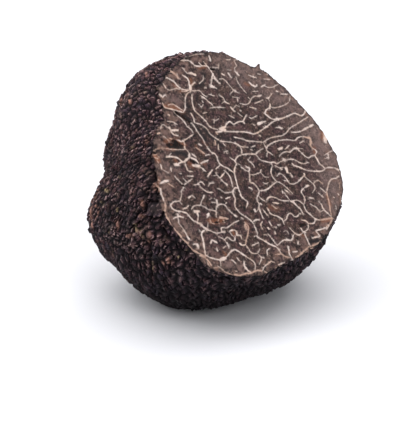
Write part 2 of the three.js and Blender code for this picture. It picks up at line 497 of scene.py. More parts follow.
SALMON = """
2.2: 165,203 165.5,208 163.8,213
1.4: 163,214.5 161,218
3: 165.5,214.5 168,220 170.5,225
2.6: 170.8,225.8 176,231.5 181,236.5
2.2: 181,237.5 188,243.5
1.4: 172.9,231 177.7,236.5
1.8: 188,244.9 191.6,249 198.5,253.2 205.4,256
3: 201,255.5 205,256.8
2: 204.7,257.3 208.9,261.5 211,265
1.8: 233.8,274.6 240,275.3 246.3,273.3 250.4,273.3 256.6,270.5 262,271
1.6: 264.6,271.3 267.9,273 273.8,270 277.7,267.4 284.2,266 290,262.8 293.4,263
1.8: 295.7,257 299.3,255.5 302.3,252.5 306,249.5 309,246.5
1.7: 310.4,246.4 315.6,244.5 321.5,241.2
2: 311,248.3 312,248.5
1.6: 306.5,252.5 307.2,252.8
2.4: 157.5,133.5 160,133.2
1.4: 150.5,153.5 154,150.5
1.6: 153.7,174 156.3,176.6
2.2: 157,178 158.8,180.3
1.6: 153.3,155 156.5,154.5
2: 154.5,157.3 157,158.5
1.5: 157,160.5 158.5,162.5
1.3: 158,156 159.3,157.3
2: 156,184.5 157.5,187
1.6: 158.6,186 159,190
1.4: 160,191.5 161,194
1.2: 166,148.3 160,148 155,150 151,153.7
1.4: 339.3,183 339.8,189.5
1.2: 340.7,197 340.7,203
2: 321,220 326,219 332,218.3
2: 332,219.5 330,223.5 326.5,227
1.8: 326.7,191.5 327.7,197 329.3,203 330,209 331.3,215.5
2.6: 331.5,218 332.7,218.6
2.4: 304.3,137 310,138.5 310.8,142 310.5,145.5 312.5,148.3
2.4: 323.4,132.5 323.8,138
1.6: 245,222.5 248.3,226.5 248.3,231 247.3,236.5 246,241 245.7,244.7
3.8: 245,224.5 246.5,229
1.8: 167,139 169.3,141.3
1.6: 170,138.3 173.5,139.5
1.6: 196,147.5 204.5,153.5
2: 215,141 215.5,144
1.8: 216,132.5 217.5,134.3
1.6: 318.5,180.3 322,183.3
1.5: 275.7,254.5 281.6,254.3 285.6,256.5 291,257.8
2.6: 220,217.5 227.5,218.8
2: 223.5,220 224.5,221.5
1.4: 209.8,218.5 211,222 214.3,224
1.4: 218.3,219.5 219,223
1.5: 168,183.5 173.5,186.7
2: 177,58.5 181.5,58.7
3.2: 168.5,70.6 172.5,72.2
2.2: 172.5,72.4 176,75 178,78
1.4: 207,262 209.5,266
1.2: 214,268 219,267.5 222,270
1.4: 222,270 227,273 232,274.5
"""


# ---- Marks of the cut face and forms of the skin, traced on the photograph --------------------

# Wide soft strokes on the cut face. Each line is one: its width in pixels, its strength from 0 to
# 1, then the pixels that it passes through.
BROWN_MARKS = """
3 0.9: 165,106 175,108.5 183,111.5
2.5 0.8: 169,104 175,106 180,109.5
2.5 0.8: 199,68 206,66.5
2.5 0.6: 173,84 178,88
2.5 0.6: 180,91 186,91
3.5 0.7: 190.5,79.5 191.5,84
3.5 0.6: 245,83.5 249,85
5 0.8: 210,221 217,221 223,220
3 0.9: 165,141.5 171,139.5 180,141.5 185,145
2.5 0.8: 167,148.5 174,149.5
2 0.5: 196,146 199,150 204,154
2 0.5: 203,141 207,146
3 0.35: 266,111 269,116
3.5 0.7: 314,148 315,153
5 0.8: 322.5,131 322.5,138
3 0.5: 246,222 249,228
5 0.9: 154,156 158,160
4 0.9: 156,183 158,190
4 0.8: 154,174 158,180
3 0.6: 175,160 177,163
4 0.7: 189,163 193,166
3 0.5: 201,163 205,164
3 0.7: 224,253 226,255
3 0.6: 301,234 304,236
3 0.7: 327,196 330,205
4 0.6: 322,221 329,220
3 0.8: 232.5,231 234.5,235
4 0.5: 270,207 277,209
"""
DARK_MARKS = """
2.5 0.9: 175,112 184,117 193,123
6 0.6: 186,118 197,128 206,140
5 0.6: 203,128 214,139 222,146
5 0.5: 218,137 234,139 250,139
4 0.5: 187,100 188,108 190,113
6 0.5: 203,72 204,80 200,86
5 0.6: 217,70 219,77
4 0.4: 195,96 199,104
6 0.5: 250,145 254,150
8 0.5: 270,168 276,172
3 0.5: 283,168 289,177
5 0.4: 245,188 250,194
3 0.7: 264,212 268,218
4 0.6: 286,235 290,239
4 0.6: 309,219 312,222
3 0.9: 310,242 321,240
6 0.5: 245,262 251,268
5 0.7: 172,152 180,153 186,155
5 0.4: 192,211 201,216
"""
LIGHT_MARKS = """
7 0.6: 165,96 176,102 180,98
8 0.5: 218,59 226,66
8 0.5: 240,62 247,67 252,72
9 0.5: 160,166 170,170 176,168
8 0.4: 186,226 191,228
9 0.4: 280,100 288,98
9 0.4: 326,133 330,145 330,158
8 0.4: 226,264 238,266
8 0.4: 333,185 333,200
40 0.7: 232,66 262,84 288,104
36 0.9: 308,122 326,150 333,185 332,205
"""
PITS = """
5 1: 169,145 175,145.5 181,146
3.4 1: 174,140.5 178,143
2.6 0.8: 154,152.5 156,153
2.8 1: 176,112 180,114.5 185,118 190,122
2.2 0.6: 213,222 221,222 226,221
3.6 1: 301,225 305,224.5
2.8 0.9: 191.5,160.5 194.5,162.5
2.6 0.7: 211,69 215,69
2.4 0.7: 182,185 184,185.5
"""

# Broad swells of the skin: width in pixels, height in mm, pixels. Negative ones are hollows.
SWELLS = """
20 0.9: 205,262 222,271 242,275 262,274
56 -1.3: 110,116 106,128 104,136
50 -1.2: 100,252 104,260 110,268
34 -0.5: 200,300 225,297 246,291
"""
# Forms of the skin: width in pixels, height in mm, pixels. Negative ones are grooves.
SKIN_FORMS = """
13 -0.45: 103,177 116,171 130,164 142,161 152,164
4.5 -1.1: 154,170 152,178 148.5,186 146.5,194 145.5,203 144.5,210
2.8 -1.1: 147,201.5 156,202 165,202
3 -0.9: 147,216 154,219 160,218 163,213
7 -0.9: 154,179 156,187 157,196
3 -0.8: 158,220 162,228 167,236
3 -0.7: 144,213 140,219 137,225
2.5 -0.6: 146,212 138,213 134,224 131,233
3 -0.6: 136,233 142,239 147.5,243
3 -1.1: 147.5,243 149,252 150,263 151,275 152.5,286
2.5 -0.5: 150,256 158,261
4 -0.5: 97,203 100,215 98,226
6 -0.7: 160,227 166,236 174,245 184,254
3 0.35: 146,180 141,192 139,204
4 0.45: 149,232 149,240
3 0.4: 141.5,231 143,237
3.4 1.5: 258,65.5 257.5,68
4 0.5: 283,88.5 284,89.5
4 0.5: 334,154 335,156
"""
# Stretches of the skin with low warts or none: width in pixels, strength, pixels.
CALM_PATCHES = """
9 0.95: 152,209 159,209
6 0.6: 150,176 149,186
"""
# Reddish and yellowish spots on the skin: width in pixels, strength, pixels.
RUSTY_SPOTS = """
5 0.8: 92,204 90.5,214 91,226
2.5 0.8: 95,205 97.5,210 96,216 93,219
3.4 1: 142,202 142.8,209
3 0.6: 140,216 144,216
4 0.9: 150,233 149,240
4 0.8: 129,99 129,102
5 0.8: 119,99 118,104
4 0.6: 124,93 126,96
3 0.7: 146,141 147,142
3 0.6: 146,72 146,75
4 0.6: 127,236 133,235
4 0.6: 117,221 118,227
4 0.7: 168,258 169,262
4 0.5: 161,262 163,263
5 0.4: 111,256 112,262
3 0.9: 157,133 160,133
3 0.9: 154,156 157,160
4 1: 155,183 155.5,189
3 0.9: 152.5,173 155,177
3 0.8: 161,191 163,199
3.5 0.8: 258,64 258,68
4 0.5: 98,191 96,197
"""
OCHRE_SPOTS = """
3.5 0.9: 105.5,190 107.5,191.5
3.5 0.8: 116,112 118,114
2.5 0.8: 132.5,147.5 134,146
3.4 0.9: 135,225 137,230
2.8 1: 141,230 143,237
3 0.6: 156.5,86 158,88
2.4 0.7: 117,207 117,211
2.4 0.7: 128,192.5 130,190
2.6 0.6: 117.5,176 119,177
2.4 0.6: 143.5,91 145,91.5
3 0.5: 109,229 109,232
3 0.4: 113,253 114,256
3 0.5: 101,203 103,205
1.8 1: 187,250 184,254 178,257.5
1.5 0.5: 151,252 152,262 153.5,275
"""

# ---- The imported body, read as a distance from one inner point in every direction --------------

CENTRE = Vector((0, 0, 27.5 * MM))
BODY = BVHTree.FromObject(frame["nodes"][NODE], bpy.context.evaluated_depsgraph_get())
FLAT = 1e-6                   # metres: how close to the cut plane a point counts as on it
FACES_CUT = 0.9999            # cosine: how nearly along its normal a face counts as the cut


def rim_of_cut():
    """The cut's rim round its normal: angles, and how far each rim point is from CENTRE."""
    angles, reaches = [], []
    for vertex in frame["nodes"][NODE].data.vertices:
        if abs((vertex.co - CUT_POINT).dot(CUT_NORMAL)) < FLAT:
            spoke = vertex.co - CENTRE
            angles.append(math.atan2(spoke.dot(CUT_UP), spoke.dot(CUT_RIGHT)))
            reaches.append(spoke.length)
    order = np.argsort(angles)
    return np.array(angles)[order], np.array(reaches)[order]


RIM_ANGLES, RIM_REACHES = rim_of_cut()


def body_reach(way):
    """From CENTRE to the body's skin. Past the cut's rim the skin carries on at the rim's reach."""
    _, normal, _, reach = BODY.ray_cast(CENTRE, way)
    if normal.dot(CUT_NORMAL) < FACES_CUT:
        return reach
    angle = math.atan2(way.dot(CUT_UP), way.dot(CUT_RIGHT))
    return float(np.interp(angle, RIM_ANGLES, RIM_REACHES, period=math.tau))


def on_body(pixel):
    """Where a pixel of the photograph falls on the body, or the body's nearest point to it."""
    line = sight_line(pixel)
    place = BODY.ray_cast(EYE, line)[0]
    return place or BODY.find_nearest(EYE + line * VIEW_DISTANCE)[0]


# ---- The skin: warts packed like cells over the body ------------------------------------------

WART_WIDE = 0.0270            # radians between warts, round the body
# The warts' rows, each (lean, nod, tall, low, high): how far they lean to the right and the front,
# in degrees, how many radians they are apart, and between which heights of a site's direction.
ROWS = [
    (28, 24, 0.044, -0.28, 1.0),
    (-6, 0, 0.068, -1.0, -0.28),
]
BLOCK_WIDE = 0.043            # radians between the blocks that warts crowd into
BLOCK_TALL = 0.100
JITTER = 0.36                 # how far warts and blocks stray, of the distance between them
WARTS_LOST = 0.15             # the share of the warts left out, for their neighbours to fill
VALLEY = 0.30                 # depth of the valleys between warts, of a wart's radius
PEAK = 0.20                   # height of a wart's ridge, of its radius
RIDGE = (0.30, 0.75)          # half-length of the ridge, of the radius
RIDGE_TURN = 0.32             # radians that ridges stray from the lean of the rows
RIDGE_STRAY = 0.10            # how far a ridge's middle strays from its wart's, of the radius
RIDGE_HEIGHTS = (0.3, 1.7)    # how high ridges are, at random, of PEAK
RIDGE_TILT = 0.5              # how much higher one end can be than the middle, of the height
RIDGE_RISE = (0.75, 1.1)      # how light the ridges' ends are painted, where 0 is a valley's painted shade
CORNER_PULL = 0.3             # from the point level with three warts towards their centroid
FILLED = (0.0, 0.75)          # how full the valleys are, at random
BLOCK_FILLED = 0.65           # and at least this full within a block
BLOCK_STEP = 0.16 * MM        # how far blocks stand in or out
BLOCK_CREASE = 0.26 * MM      # how much deeper the valleys between blocks are
BLOCK_CALM = 0.4              # how much lower warts are where the blocks are strong
BLOCKS_BELOW = 36 * MM        # blocks are weak above this height
BLOCKS_FADE = 0.75            # and begin to weaken at this share of it
BLOCKS_ABOVE = 0.35           # down to this share of their strength
INNER_ALIKE = 0.6             # how much more alike the painted light and shade of the facets within a block are
INNER_FACET = 0.45            # the value that they come closer to
RINGS_FROM = (0.1, 0.2, 1.0)  # where the turns round a wart are measured from
RIM_CALM = 1.6 * MM           # warts are lower this close to the cut
RIM_KEPT = 0.2                # down to this share of their height
# On the cut's upper left they are whole, past a slanting line that is reached gradually between
# these distances along the cut's right less ROUGH_SLOPE of its up.
RIM_ROUGH = (-20.5 * MM, -25.5 * MM)
ROUGH_SLOPE = 0.7
LUMPS = [(9.0, 0.45), (4.5, 0.28)]       # (size, height) in mm of the skin's swellings
LUMPS_APART = 17.3            # how far apart the two sizes are read from the noise, in its x
LUMPS_AT = (4.1, 9.7)         # the y and z that are added for both
STROKE_FALL = 4               # a stroke fades as exp(-STROKE_FALL * (distance / width) ** 2)
STROKE_STEP = 0.3 * MM        # between samples along a traced stroke
SEED = 1689


def smooth_step(low, high, values):
    """0 at low, 1 at high, and a smooth climb between."""
    t = np.clip((values - low) / (high - low), 0, 1)
    return t * t * (3 - 2 * t)


def traced_strokes(text):
    """The strokes of a block of traced lines, each as its numbers and then its pixels."""
    strokes = []
    for line in filter(None, text.splitlines()):
        numbers, pixels = line.split(": ")
        corners = [tuple(map(float, pixel.split(","))) for pixel in pixels.split()]
        strokes.append((*map(float, numbers.split()), corners))
    return strokes


def smooth_path(points, step):
    """A Catmull-Rom curve through points, sampled about every `step`."""
    points = np.array(points)
    ends = 2 * points[:1] - points[1:2], 2 * points[-1:] - points[-2:-1]
    padded = np.concatenate([ends[0], points, ends[1]])
    samples = []
    for p0, p1, p2, p3 in zip(padded, padded[1:], padded[2:], padded[3:]):
        count = max(1, round(float(np.linalg.norm(p2 - p1)) / step))
        for t in np.arange(count) / count:
            linear = (p2 - p0) * t
            square = (2 * p0 - 5 * p1 + 4 * p2 - p3) * t**2
            cube = (3 * p1 - p0 - 3 * p2 + p3) * t**3
            samples.append(p1 + 0.5 * (linear + square + cube))
    samples.append(points[-1])
    return np.array(samples)


def soft_stroke(points, path, width):
    """1 on a stroke's path and fading to nothing about `width` metres from it."""
    near = np.full(len(points), np.inf)
    for sample in path:
        near = np.minimum(near, ((points - sample) ** 2).sum(axis=1))
    return np.exp(-STROKE_FALL * near / width**2)


def paths_on_body(text):
    """Each traced stroke as (width in metres, level, its path on the body)."""
    return [
        (width * PIXEL, level, smooth_path([on_body(pixel) for pixel in pixels], STROKE_STEP))
        for width, level, pixels in traced_strokes(text)
    ]


def strongest(points, paths):
    """At each point, the level of the strokes there: 0 where there is none."""
    total = np.zeros(len(points))
    for width, level, path in paths:
        total = np.maximum(total, level * soft_stroke(points, path, width))
    return total


def lump_height(place):
    """How far the skin swells out or sinks in at one place, in metres."""
    return sum(
        height * MM * noise.noise(place / (size * MM) + Vector((i * LUMPS_APART, *LUMPS_AT)))
        for i, (size, height) in enumerate(LUMPS)
    )


def unit(vectors):
    """The vectors at length one."""
    return vectors / np.linalg.norm(vectors, axis=1, keepdims=True)


def dots(a, b):
    """Each row of a times the same row of b, added up."""
    return np.sum(a * b, axis=1)


def packed_sites(rng, wide, tall, turned):
    """Directions in shaken rings round a turned axis, `tall` apart and `wide` along them."""
    sites = []
    for level in np.arange(tall / 2, math.pi, tall):
        count = max(1, round(math.tau * math.sin(level) / wide))
        turn = math.tau * (np.arange(count) + rng.random()) / count
        turn += rng.normal(0, JITTER, count) * math.tau / count
        fall = level + rng.normal(0, JITTER, count) * tall
        flat = np.sin(fall)
        sites.append(np.stack([flat * np.cos(turn), flat * np.sin(turn), np.cos(fall)], axis=1))
    return np.concatenate(sites) @ turned.T


def nearest_blocks(sites, blocks, axis):
    """The block that each wart belongs to: its nearest, with distances along the rows shortened."""
    squash = np.eye(3) - (1 - BLOCK_WIDE / BLOCK_TALL) * np.outer(axis, axis)
    tree = kdtree.KDTree(len(blocks))
    for i, block in enumerate(blocks @ squash):
        tree.insert(block, i)
    tree.balance()
    return np.array([tree.find(site)[1] for site in sites @ squash])


def packed_warts(rng):
    """All the warts: their directions, the ways their rows run, and the blocks they belong to."""
    sites, upward, block = [], [], []
    for lean, nod, tall, low, high in ROWS:
        turned = np.array(
            Matrix.Rotation(math.radians(lean), 3, "Y") @ Matrix.Rotation(math.radians(nod), 3, "X")
        )
        axis = turned[:, 2]
        some = packed_sites(rng, WART_WIDE, tall, turned)
        some = some[(some[:, 2] >= low) & (some[:, 2] < high)]
        some = some[rng.random(len(some)) > WARTS_LOST]
        blocks = packed_sites(rng, BLOCK_WIDE, BLOCK_TALL, turned)
        first = max(block[-1]) + 1 if block else 0
        sites.append(some)
        upward.append(unit(axis - some * (some @ axis)[:, None]))
        block.append(first + nearest_blocks(some, blocks, axis))
    return np.concatenate(sites), np.concatenate(upward), np.concatenate(block)


def hull_triangles(sites):
    """The hull of points on a sphere: each triangle joins three neighbouring warts.

    A few sites are left off the hull, and get no wart.
    """
    bm = bmesh.new()
    for site in sites:
        bm.verts.new(site)
    bm.verts.index_update()
    bmesh.ops.convex_hull(bm, input=bm.verts)
    triangles = np.array([[v.index for v in face.verts] for face in bm.faces])
    bm.free()
    return triangles


def triangle_middles(sites, triangles):
    """The direction of each triangle's centroid, and of the corner where its warts meet.

    A sliver's normal can point far from it. Its corner is then far off, and its faces stray.
    """
    a, b, c = (sites[triangles[:, i]] for i in range(3))
    centroids = unit(a + b + c)
    outward = unit(np.cross(b - a, c - a))
    outward *= np.sign(dots(outward, a))[:, None]
    return centroids, unit(outward * (1 - CORNER_PULL) + centroids * CORNER_PULL)


def wart_rings(sites, centroids, triangles):
    """Every (wart, corner) pair, in order round each wart, and the pair that follows each one."""
    wart = triangles.ravel()
    corner = np.repeat(np.arange(len(triangles)), 3)
    site = sites[wart]
    east = unit(np.cross(RINGS_FROM, site))
    north = np.cross(site, east)
    spoke = centroids[corner] - site
    order = np.lexsort((np.arctan2(dots(spoke, north), dots(spoke, east)), wart))
    wart, corner = wart[order], corner[order]
    first = np.searchsorted(wart, wart)
    last = np.searchsorted(wart, wart, side="right") - 1
    place = np.arange(len(wart))
    return wart, corner, np.where(place == last, first, place + 1)


def skin_form(ways):
    """The skin before its warts, in each direction: its places, and where it is calm."""
    bases = np.array([Vector(way) * body_reach(Vector(way)) + CENTRE for way in ways])
    calm = strongest(bases, paths_on_body(CALM_PATCHES))
    heights = np.array([lump_height(Vector(base)) for base in bases])
    for width, height, path in paths_on_body(SWELLS):
        heights += height * MM * soft_stroke(bases, path, width)
    return bases + ways * heights[:, None], calm


def kept_by_rim(places):
    """The share of the warts' height that is kept at each place, less beside most of the rim."""
    from_middle = places - np.array(CUT_POINT)
    from_cut = np.abs(from_middle @ np.array(CUT_NORMAL))
    ragged = smooth_step(*RIM_ROUGH, from_middle @ np.array(CUT_RIGHT - ROUGH_SLOPE * CUT_UP))
    kept = np.maximum(RIM_KEPT, ragged)
    return kept + (1 - kept) * smooth_step(0, RIM_CALM, from_cut)


def wart_faces(warts, wart, corner, following, toward_first):
    """Every wart's faces: fans from its ridge's ends to its corners, and slopes between the ends.

    The places are numbered in this order: all first ends, all second ends, then the corners.
    """
    end = np.where(toward_first, wart, wart + warts)
    valley = 2 * warts + corner
    fans = np.stack([end, valley, valley[following]], axis=1)
    over = end != end[following]
    slopes = np.stack([end, valley[following], end[following]], axis=1)[over]
    return np.concatenate([fans, slopes])


def warty_skin():
    """The whole skin before the knife: places, faces, and named numbers for each of them."""
    rng = np.random.default_rng(SEED)
    sites, upward, block = packed_warts(rng)
    warts = len(sites)
    triangles = hull_triangles(sites)
    centroids, corners = triangle_middles(sites, triangles)
    wart, corner, following = wart_rings(sites, centroids, triangles)

    spokes = np.linalg.norm(corners[corner] - sites[wart], axis=1)
    sides = np.bincount(wart, minlength=warts)
    radius = np.bincount(wart, spokes, minlength=warts) / np.maximum(sides, 1)

    turn = rng.normal(0, RIDGE_TURN, warts)[:, None]
    ridge = upward * np.cos(turn) + np.cross(sites, upward) * np.sin(turn)
    half = (radius * rng.uniform(*RIDGE, warts))[:, None] * ridge
    middle = sites + rng.normal(0, RIDGE_STRAY, (warts, 3)) * radius[:, None]
    ways = np.concatenate([unit(middle + half), unit(middle - half), corners])
    places, calm = skin_form(ways)

    low = 1 - smooth_step(BLOCKS_FADE * BLOCKS_BELOW, BLOCKS_BELOW, places[:, 2])
    blocky = BLOCKS_ABOVE + (1 - BLOCKS_ABOVE) * low
    step = rng.normal(0, BLOCK_STEP, block.max() + 1)[block]
    height = PEAK * radius * rng.uniform(*RIDGE_HEIGHTS, warts) * CENTRE.z
    height *= 1 - BLOCK_CALM * low[:warts]
    tilt = rng.uniform(-RIDGE_TILT, RIDGE_TILT, warts)
    neighbours = block[triangles]
    between = (neighbours != neighbours[:, :1]).any(axis=1)
    filled = np.where(between, 0, np.maximum(
        rng.uniform(*FILLED, len(corners)), BLOCK_FILLED * blocky[2 * warts:]
    ))
    depth = VALLEY * radius[triangles].mean(axis=1) * CENTRE.z * (1 - filled)
    depth += BLOCK_CREASE * between * blocky[2 * warts:]
    lift = np.concatenate([
        height * (1 + tilt) + step,
        height * (1 - tilt) + step,
        step[triangles].mean(axis=1) - depth,
    ])
    lift *= kept_by_rim(places)
    places += ways * (lift * (1 - calm))[:, None]
    places[:, 2] = np.maximum(places[:, 2], 0)

    toward_first = dots(centroids[corner] - sites[wart], ridge[wart]) > 0
    faces = wart_faces(warts, wart, corner, following, toward_first)
    # Each face's random value sets its painted highlight and painted shade in the skin's material
    facet_light_and_shade = rng.random(len(faces))
    inner = ~between[faces[:, 1] - 2 * warts]
    facet_light_and_shade += INNER_ALIKE * (INNER_FACET - facet_light_and_shade) * inner * low[faces[:, 0]]
    tints = rng.random(warts)
    place_values = {
        # rise runs from 0 in the valleys to 1 on the ridges: the skin's material paints shade in the
        # valleys from it
        "rise": np.concatenate([rng.uniform(*RIDGE_RISE, 2 * warts), filled]),
        "tint": np.concatenate([tints, tints, tints[triangles].mean(axis=1)]),
        # Painted shade along the creases between blocks
        "crease_shade": np.concatenate([np.zeros(2 * warts), between]) * blocky * (1 - calm),
        "calm": calm,
    }
    return places, faces, place_values, {"facet_light_and_shade": facet_light_and_shade}


# ---- The traced forms and patches of the skin -------------------------------------------------

REFINE_ROUNDS = 2             # how often edges are halved near a traced stroke
REFINE_REACH = 0.8            # how near that is, of the stroke's width
REFINE_EDGE = 0.35 * MM       # edges shorter than this stay whole
GROOVE_DARK = 1.3             # how dark the painted shade in the traced grooves is, for each mm of their depth


def refine_near(bm, paths):
    """Halves the skin's long edges near some strokes, so that it can follow them."""
    for _ in range(REFINE_ROUNDS):
        points = np.array([vertex.co for vertex in bm.verts])
        near = np.zeros(len(points), bool)
        for width, _, path in paths:
            near |= soft_stroke(points, path, width) > math.exp(-STROKE_FALL * REFINE_REACH**2)
        bm.verts.index_update()
        edges = [
            edge for edge in bm.edges
            if near[edge.verts[0].index] | near[edge.verts[1].index]
            and edge.calc_length() > REFINE_EDGE
        ]
        bmesh.ops.subdivide_edges(bm, edges=edges, cuts=1, use_grid_fill=False)
        bmesh.ops.triangulate(bm, faces=bm.faces[:])


def add_traced_forms(bm):
    """Presses the traced grooves and bumps into the skin, marks the grooves for painted shade, and
    marks its coloured patches.
    """
    forms = paths_on_body(SKIN_FORMS)
    patches = {"rust": paths_on_body(RUSTY_SPOTS), "ochre": paths_on_body(OCHRE_SPOTS)}
    refine_near(bm, forms + patches["rust"] + patches["ochre"])
    points = np.array([vertex.co for vertex in bm.verts])
    heights = np.zeros(len(points))
    groove_shade = np.zeros(len(points))
    for width, height, path in forms:
        softness = soft_stroke(points, path, width)
        heights += height * MM * softness
        groove_shade = np.maximum(groove_shade, np.clip(-GROOVE_DARK * height, 0, 1) * softness)
    points += unit(points - np.array(CENTRE)) * heights[:, None]
    points[:, 2] = np.maximum(points[:, 2], 0)
    levels = {name: strongest(points, paths) for name, paths in patches.items()}
    crease_shade = bm.verts.layers.float["crease_shade"]
    for i, vertex in enumerate(bm.verts):
        vertex.co = points[i]
        vertex[crease_shade] = max(vertex[crease_shade], groove_shade[i])
        for name, level in levels.items():
            vertex[bm.verts.layers.float[name]] = level[i]


# ---- The knife: the skin is cut by the mount's plane ------------------------------------------

def cut_skin():
    """The warty skin as a bmesh, with everything past the cut plane taken away."""
    places, faces, place_values, face_values = warty_skin()
    mesh = bpy.data.meshes.new("skin")
    mesh.from_pydata(places.tolist(), [], faces.tolist())
    for domain, named in (("POINT", place_values), ("FACE", face_values)):
        for name, numbers in named.items():
            layer = mesh.attributes.new(name, "FLOAT", domain)
            layer.data.foreach_set("value", numbers)
    for name in ("rust", "ochre"):
        mesh.attributes.new(name, "FLOAT", "POINT")
    bm = bmesh.new()
    bm.from_mesh(mesh)
    bpy.data.meshes.remove(mesh)
    add_traced_forms(bm)
    bmesh.ops.bisect_plane(
        bm, geom=bm.verts[:] + bm.edges[:] + bm.faces[:], dist=FLAT,
        plane_co=CUT_POINT, plane_no=CUT_NORMAL, clear_outer=True,
    )
    bmesh.ops.triangulate(bm, faces=bm.faces[:])
    unused = [vertex for vertex in bm.verts if not vertex.link_faces]
    bmesh.ops.delete(bm, geom=unused, context="VERTS")
    return bm


def open_loops(bm):
    """The loops of open edges that the knife left, each a list of vertices in order.

    The edges wait in a dict, which keeps the mesh's order: a set's order changes from run to run.
    """
    waiting = {edge: None for edge in bm.edges if edge.is_boundary}
    loops = []
    while waiting:
        edge = next(iter(waiting))
        del waiting[edge]
        loop = list(edge.verts)
        while True:
            step = next((e for e in loop[-1].link_edges if e in waiting), None)
            if step is None:
                break
            del waiting[step]
            loop.append(step.other_vert(loop[-1]))
        if loop[0] is loop[-1]:
            loop.pop()
        loops.append(loop)
    return loops


# ---- The flesh: veins on the cut face ---------------------------------------------------------

VEIN_STEP = 0.26 * MM         # between mesh points along a vein
VEIN_WIDTHS = (1.0, 1.6, 2.4, 4.0)       # traced widths in pixels, and for a vein of each one:
VEIN_CORES = (0.19, 0.22, 0.31, 0.43)    # the half-width of its full-strength core, of its width
VEIN_STRENGTHS = (0.55, 0.95, 1.0, 1.0)  # how strongly it shows
VEIN_TIPS = (0.45, 0.5, 0.65, 0.9)       # and how wide its ends are, of its core
VEIN_TAPER = 0.6 * MM         # a vein narrows to its end over this length
VEIN_SWELL = 0.8 * MM         # it swells and pales over lengths like this
VEIN_WIDER = (1.05, 0.7)      # a vein's width along it, of its own: the middle, and the swing
VEIN_PALER = (0.95, 0.5)      # and its strength
VEIN_SOFT = 0.15 * MM         # from the core to nothing
RAGGED = (0.45 * MM, 0.13 * MM)          # size and depth of the unevenness of its edges
PIT_RAGGED = (0.8 * MM, 0.5)  # size and strength of the unevenness of a pit's edge
PIT_SURE = 0.3                # a pit's mark this strong or more is uneven in full
VEIN_SHADE = (0.25 * MM, 1.1 * MM)       # the flesh clears between these distances from a vein
OUTER_FLESH = 7 * MM          # the flesh is browner and paler from here to the rim
EDGE_DARK = (0.05 * MM, 0.45 * MM)       # the dark line at the rim fades between these distances
NEAR_SAMPLES = 3              # how many of the nearest vein samples can colour a point
UNEVEN = [(3.5, 0.05), (1.1, 0.035)]     # (size, height) in mm of the cut's unevenness
VEIN_PROUD = 0.03             # mm that a vein stands out
PIT_DEEP = 0.6                # mm that a pit is deep
MESH_STEP = 0.45 * MM         # between mesh points where there is no vein
MESH_JITTER = 0.35            # how far those stray, of the step
MERGED = 1e-9                 # metres: the triangulation merges points nearer than this
CLOSEST = 0.07 * MM           # mesh points are no nearer to each other than this
RIM_ROWS = (0.22 * MM, 0.5 * MM, 0.9 * MM)   # rows of mesh points inside the rim


def nearest_tree(points):
    """A tree that finds the nearest of some 2-D points."""
    tree = kdtree.KDTree(len(points))
    for i, (x, y) in enumerate(points):
        tree.insert((x, y, 0), i)
    tree.balance()
    return tree


def inside(points, loops):
    """Which 2-D points are inside the loops, counting crossings of a line from each point."""
    x, y = points[:, 0], points[:, 1]
    odd = np.zeros(len(points), bool)
    for loop in loops:
        for (x0, y0), (x1, y1) in zip(loop, np.roll(loop, -1, axis=0)):
            if y0 != y1:
                odd ^= ((y0 > y) != (y1 > y)) & (x < x0 + (y - y0) * (x1 - x0) / (y1 - y0))
    return odd


def vein_samples():
    """Every vein as samples: places, half-widths, strengths, warmths and sideways directions."""
    cream = CREAM_UPPER_LEFT + CREAM_UPPER_RIGHT + CREAM_LOWER_LEFT + CREAM_LOWER_RIGHT
    noise.seed_set(SEED)      # without this, noise_vector takes its seed from the clock
    rows = []
    for text, warmth in ((cream, 0.0), (SALMON, 1.0)):
        for width, pixels in traced_strokes(text):
            path = smooth_path([on_cut(pixel) for pixel in pixels], VEIN_STEP)
            along = unit(np.gradient(path, axis=0))
            swell, pale = np.array([
                noise.noise_vector(Vector((x, y, width)) / VEIN_SWELL)[:2] for x, y in path
            ]).T
            ends = np.minimum(np.arange(len(path)), np.arange(len(path))[::-1]) * VEIN_STEP
            tip = np.interp(width, VEIN_WIDTHS, VEIN_TIPS)
            half = width * PIXEL * np.interp(width, VEIN_WIDTHS, VEIN_CORES)
            half = half * np.interp(ends, (0, VEIN_TAPER), (tip, 1))
            half = half * (VEIN_WIDER[0] + VEIN_WIDER[1] * swell)
            strength = np.interp(width, VEIN_WIDTHS, VEIN_STRENGTHS)
            strength = strength * (VEIN_PALER[0] + VEIN_PALER[1] * pale)
            warmths = np.full(len(path), warmth)
            rows.append(np.column_stack([path, half, strength, warmths, -along[:, 1], along[:, 0]]))
    samples = np.concatenate(rows)
    return samples[:, :2], samples[:, 2], samples[:, 3], samples[:, 4], samples[:, 5:]


def mesh_points(samples, loops):
    """Where the cut face's inner vertices go: rows along veins and rim, and a shaken grid.

    A loop can run either way round, so its rows are laid on both sides and the inner ones kept.
    """
    rng = np.random.default_rng(SEED + 2)
    places, halves, _, _, sides = samples
    rows = [places]
    for sign in (-1, 1):
        rows.append(places + sides * (sign * halves)[:, None])
        rows.append(places + sides * (sign * (halves + VEIN_SOFT))[:, None])
    for loop in loops:
        along = np.roll(loop, -1, axis=0) - np.roll(loop, 1, axis=0)
        along /= np.linalg.norm(along, axis=1, keepdims=True)
        aside = np.stack([-along[:, 1], along[:, 0]], axis=1)
        rows += [loop + aside * sign * depth for sign in (1, -1) for depth in RIM_ROWS]
    low, high = loops[0].min(axis=0), loops[0].max(axis=0)
    grid = np.stack(np.meshgrid(*(np.arange(a, b, MESH_STEP) for a, b in zip(low, high))), -1)
    grid = grid.reshape(-1, 2)
    rows.append(grid + rng.uniform(-MESH_JITTER, MESH_JITTER, grid.shape) * MESH_STEP)
    points = np.concatenate(rows)
    points = points[inside(points, loops)]
    return thinned(points, np.concatenate(loops))


